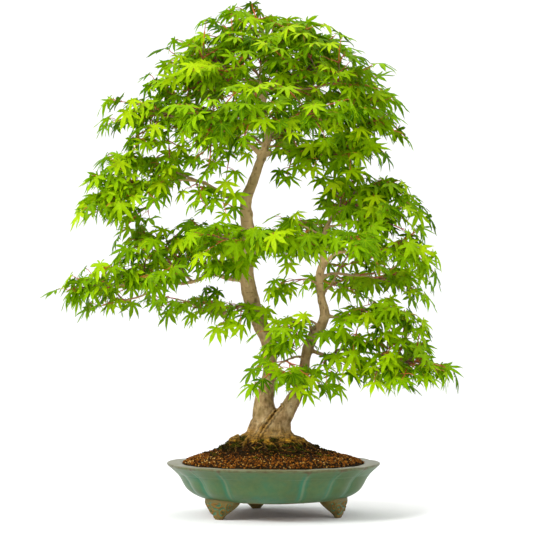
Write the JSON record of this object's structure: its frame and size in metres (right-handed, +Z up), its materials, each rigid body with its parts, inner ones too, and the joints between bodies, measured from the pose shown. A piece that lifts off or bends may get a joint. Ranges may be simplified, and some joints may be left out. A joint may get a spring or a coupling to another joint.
{
  "type": "bonsai tree in a pot",
  "caption": "Twin-trunk maple bonsai with leafy shoots, rooted in mossy granular soil in a round lobed glazed pot on three feet.",
  "frame": {"origin": "the point on the ground under the middle of the whole plant's box, between the three feet; the pot's own axis stands 26.8 mm to +X and 11.8 mm to -Y of it", "axes": "+Z up the trunks, +X to the right as seen from the front, +Y to the back"},
  "size_m": [0.5738, 0.3826, 0.7247],
  "materials": {
    "glazed_stoneware": "gloss",
    "soil_grains": "matte",
    "drainage_grit": "matte",
    "mesh_plastic": "matte",
    "aluminium_wire": "satin",
    "maple_bark": "matte",
    "moss": "matte",
    "maple_leaf": "satin"
  },
  "bodies": {
    "root": {"drainage_grit": "drainage_grit", "drainage_screen": "mesh_plastic", "moss_back": "moss", "moss_front": "moss", "moss_left": "moss", "moss_right": "moss", "pot": "glazed_stoneware", "screen_clip": "aluminium_wire", "shoot_apex": "maple_leaf", "shoot_apex_left": "maple_leaf", "shoot_apex_right": "maple_leaf", "shoot_back_crown": "maple_leaf", "shoot_back_crown_left": "maple_leaf", "shoot_back_low": "maple_leaf", "shoot_back_low_left": "maple_leaf", "shoot_back_low_right": "maple_leaf", "shoot_back_mid": "maple_leaf", "shoot_back_mid_left": "maple_leaf", "shoot_front_crown": "maple_leaf", "shoot_front_crown_left": "maple_leaf", "shoot_front_crown_right": "maple_leaf", "shoot_front_low": "maple_leaf", "shoot_front_low_left": "maple_leaf", "shoot_front_low_right": "maple_leaf", "shoot_left_crown": "maple_leaf", "shoot_left_crown_rear": "maple_leaf", "shoot_left_low": "maple_leaf", "shoot_left_low_rear": "maple_leaf", "shoot_left_low_upper": "maple_leaf", "shoot_left_mid": "maple_leaf", "shoot_left_mid_lower": "maple_leaf", "shoot_left_mid_upper": "maple_leaf", "shoot_left_rear": "maple_leaf", "shoot_left_top": "maple_leaf", "shoot_left_top_rear": "maple_leaf", "shoot_right_mid": "maple_leaf", "shoot_right_mid_rear": "maple_leaf", "shoot_right_top": "maple_leaf", "shoot_right_top_front": "maple_leaf", "shoot_right_upper": "maple_leaf", "shoot_right_upper_front": "maple_leaf", "shoot_second_back": "maple_leaf", "shoot_second_back_upper": "maple_leaf", "shoot_second_front": "maple_leaf", "shoot_second_front_low": "maple_leaf", "shoot_second_inner_low": "maple_leaf", "shoot_second_inner_stub": "maple_leaf", "shoot_second_inner_upper": "maple_leaf", "shoot_second_low": "maple_leaf", "shoot_second_low_rear": "maple_leaf", "shoot_second_right_mid": "maple_leaf", "shoot_second_right_rear": "maple_leaf", "shoot_second_right_upper": "maple_leaf", "shoot_second_top": "maple_leaf", "shoot_second_top_front": "maple_leaf", "shoot_second_top_rear": "maple_leaf", "soil": "soil_grains", "tie_wire": "aluminium_wire", "trunks_and_branches": "maple_bark"}
  },
  "joints": []
}
